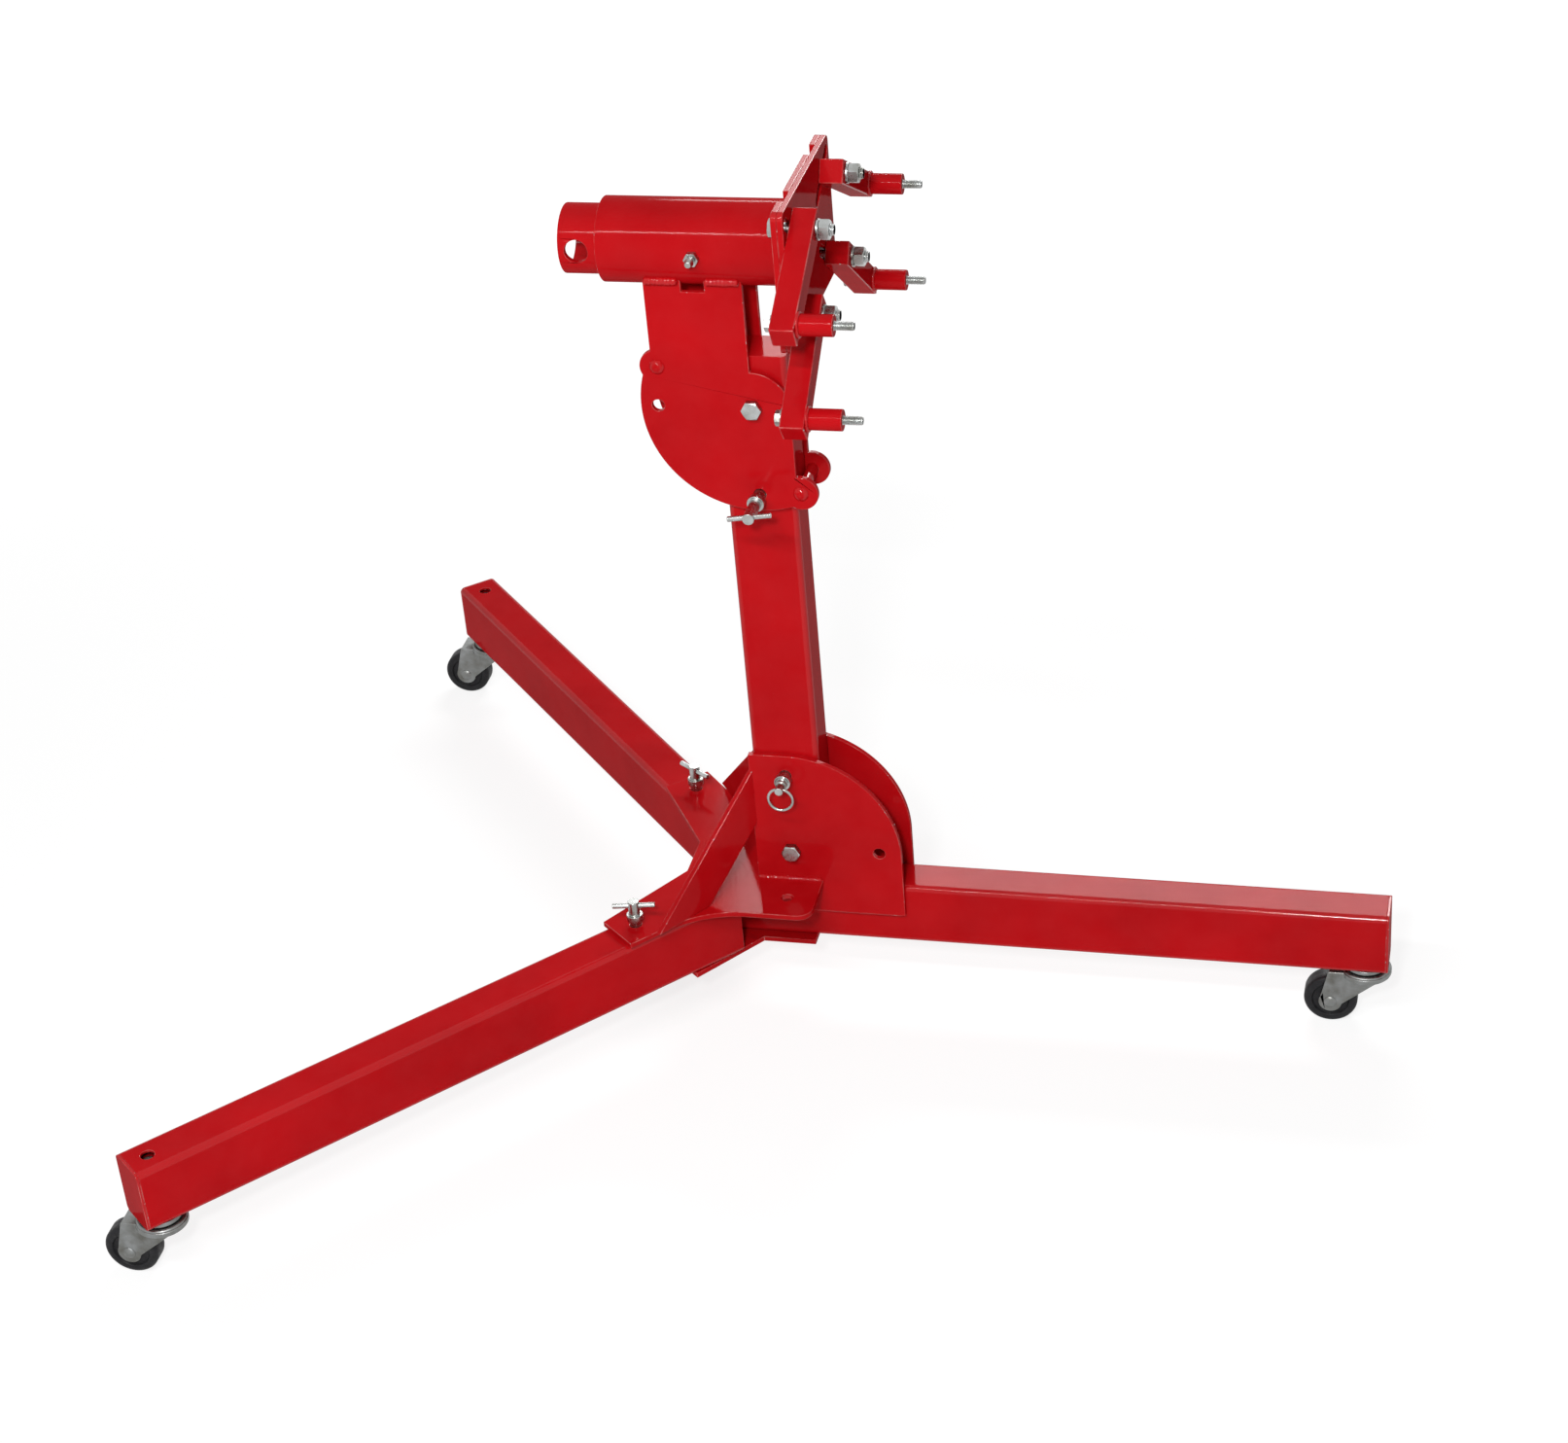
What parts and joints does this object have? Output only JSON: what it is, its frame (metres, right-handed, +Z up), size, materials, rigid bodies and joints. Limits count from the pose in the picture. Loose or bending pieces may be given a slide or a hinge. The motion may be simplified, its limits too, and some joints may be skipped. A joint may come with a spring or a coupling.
{
  "type": "engine stand",
  "caption": "Folding engine stand: rolling base with swing-out legs, hinged mast, tilting head and a turning slotted plate whose arms bolt to an engine block",
  "frame": {"origin": "on the floor under the middle of the stand's bounding box", "axes": "+X along the front leg towards the engine, +Y across the stand away from the camera, +Z up"},
  "size_m": [1.306, 1.258, 1.0093],
  "materials": {
    "red_paint": "gloss",
    "zinc": "satin",
    "wheel": "matte"
  },
  "bodies": {
    "base": {"front_leg": "red_paint", "front_leg_cap": "red_paint", "near_side_plate": "red_paint", "far_side_plate": "red_paint", "top_plate": "red_paint", "bottom_plate": "red_paint", "near_gusset": "red_paint", "far_gusset": "red_paint", "mast_bolt": "zinc", "mast_nut": "zinc", "leg_bolts": "zinc", "leg_nuts": "zinc", "front_stem": "zinc"},
    "mast_pin": {"mast_pin": "zinc"},
    "pull_ring": {"pull_ring": "zinc"},
    "near_leg_pin": {"near_leg_pin": "zinc"},
    "far_leg_pin": {"far_leg_pin": "zinc"},
    "near_leg": {"near_leg": "red_paint", "near_leg_cap": "red_paint", "near_stem": "zinc"},
    "far_leg": {"far_leg": "red_paint", "far_leg_cap": "red_paint", "far_stem": "zinc"},
    "front_fork": {"front_fork": "zinc", "front_axle": "zinc"},
    "front_wheel": {"front_wheel": "wheel"},
    "near_fork": {"near_fork": "zinc", "near_axle": "zinc"},
    "near_wheel": {"near_wheel": "wheel"},
    "far_fork": {"far_fork": "zinc", "far_axle": "zinc"},
    "far_wheel": {"far_wheel": "wheel"},
    "mast": {"mast": "red_paint"},
    "head": {"near_head_plate": "red_paint", "far_head_plate": "red_paint", "outer_tube": "red_paint", "stop_rods": "red_paint", "grease_fitting": "zinc", "head_bolt": "zinc", "head_nut": "zinc"},
    "head_pin": {"head_pin": "zinc"},
    "spindle": {"inner_tube": "red_paint", "backing_plate": "red_paint", "mount_plate": "red_paint"},
    "nu_clamp": {"nu_clamp": "zinc"},
    "nu_arm": {"nu_arm": "red_paint", "nu_standoff": "red_paint", "nu_engine_bolt": "zinc"},
    "nl_clamp": {"nl_clamp": "zinc"},
    "nl_arm": {"nl_arm": "red_paint", "nl_standoff": "red_paint", "nl_engine_bolt": "zinc"},
    "fu_clamp": {"fu_clamp": "zinc"},
    "fu_arm": {"fu_arm": "red_paint", "fu_standoff": "red_paint", "fu_engine_bolt": "zinc"},
    "fl_clamp": {"fl_clamp": "zinc"},
    "fl_arm": {"fl_arm": "red_paint", "fl_standoff": "red_paint", "fl_engine_bolt": "zinc"}
  },
  "joints": [
    {"name": "mast_fold", "type": "hinge", "parent": "base", "child": "mast", "pos_m": [-0.01897, 0, 0.19965], "axis": [0, 1, 0], "range_deg": [0, 82]},
    {"name": "head_tilt", "type": "hinge", "parent": "mast", "child": "head", "pos_m": [-0.01897, 0, 0.75845], "axis": [0, -1, 0], "range_deg": [0, 90]},
    {"name": "head_spin", "type": "hinge", "parent": "head", "child": "spindle", "pos_m": [-0.01897, 0, 0.93305], "axis": [1, 0, 0], "continuous": true},
    {"name": "near_leg_fold", "type": "hinge", "parent": "base", "child": "near_leg", "pos_m": [-0.11397, -0.06985, 0.1552], "axis": [0, 0, 1], "range_deg": [0, 132]},
    {"name": "far_leg_fold", "type": "hinge", "parent": "base", "child": "far_leg", "pos_m": [-0.11397, 0.06985, 0.1552], "axis": [0, 0, -1], "range_deg": [0, 132]},
    {"name": "front_swivel", "type": "hinge", "parent": "base", "child": "front_fork", "pos_m": [0.62453, 0, 0.07], "axis": [0, 0, 1], "continuous": true},
    {"name": "front_roll", "type": "hinge", "parent": "front_fork", "child": "front_wheel", "pos_m": [0.58653, 0, 0.03], "axis": [0, 1, 0], "continuous": true},
    {"name": "near_swivel", "type": "hinge", "parent": "near_leg", "child": "near_fork", "pos_m": [-0.58503, -0.59302, 0.07], "axis": [0, 0, 1], "continuous": true},
    {"name": "near_roll", "type": "hinge", "parent": "near_fork", "child": "near_wheel", "pos_m": [-0.62303, -0.59302, 0.03], "axis": [0, 1, 0], "continuous": true},
    {"name": "far_swivel", "type": "hinge", "parent": "far_leg", "child": "far_fork", "pos_m": [-0.58503, 0.59302, 0.07], "axis": [0, 0, 1], "continuous": true},
    {"name": "far_roll", "type": "hinge", "parent": "far_fork", "child": "far_wheel", "pos_m": [-0.62303, 0.59302, 0.03], "axis": [0, 1, 0], "continuous": true},
    {"name": "mast_pin_push", "type": "slide", "parent": "base", "child": "mast_pin", "axis": [0, 1, 0], "range_m": [0, 0.008]},
    {"name": "ring_swing", "type": "hinge", "parent": "mast_pin", "child": "pull_ring", "pos_m": [-0.01897, -0.06005, 0.30125], "axis": [1, 0, 0], "range_deg": [-100, 30]},
    {"name": "head_pin_push", "type": "slide", "parent": "head", "child": "head_pin", "axis": [0, 1, 0], "range_m": [0, 0.014]},
    {"name": "near_leg_pin_push", "type": "slide", "parent": "base", "child": "near_leg_pin", "axis": [0, 0, -1], "range_m": [0, 0.0065]},
    {"name": "far_leg_pin_push", "type": "slide", "parent": "base", "child": "far_leg_pin", "axis": [0, 0, -1], "range_m": [0, 0.0065]},
    {"name": "near_upper_slot_slide", "type": "slide", "parent": "spindle", "child": "nu_clamp", "axis": [0, -0.8407, 0.5416], "range_m": [-0.024, 0.025]},
    {"name": "near_upper_arm_swing", "type": "hinge", "parent": "nu_clamp", "child": "nu_arm", "pos_m": [0.07473, -0.07213, 0.97952], "axis": [-1, 0, 0], "range_deg": [0, 90]},
    {"name": "near_lower_slot_slide", "type": "slide", "parent": "spindle", "child": "nl_clamp", "axis": [0, -0.8407, -0.5416], "range_m": [-0.024, 0.025]},
    {"name": "near_lower_arm_swing", "type": "hinge", "parent": "nl_clamp", "child": "nl_arm", "pos_m": [0.07473, -0.07213, 0.88658], "axis": [1, 0, 0], "range_deg": [-20, 50]},
    {"name": "far_upper_slot_slide", "type": "slide", "parent": "spindle", "child": "fu_clamp", "axis": [0, 0.8407, 0.5416], "range_m": [-0.024, 0.025]},
    {"name": "far_upper_arm_swing", "type": "hinge", "parent": "fu_clamp", "child": "fu_arm", "pos_m": [0.07473, 0.07213, 0.97952], "axis": [1, 0, 0], "range_deg": [0, 90]},
    {"name": "far_lower_slot_slide", "type": "slide", "parent": "spindle", "child": "fl_clamp", "axis": [0, 0.8407, -0.5416], "range_m": [-0.024, 0.025]},
    {"name": "far_lower_arm_swing", "type": "hinge", "parent": "fl_clamp", "child": "fl_arm", "pos_m": [0.07473, 0.07213, 0.88658], "axis": [-1, 0, 0], "range_deg": [-20, 50]}
  ]
}
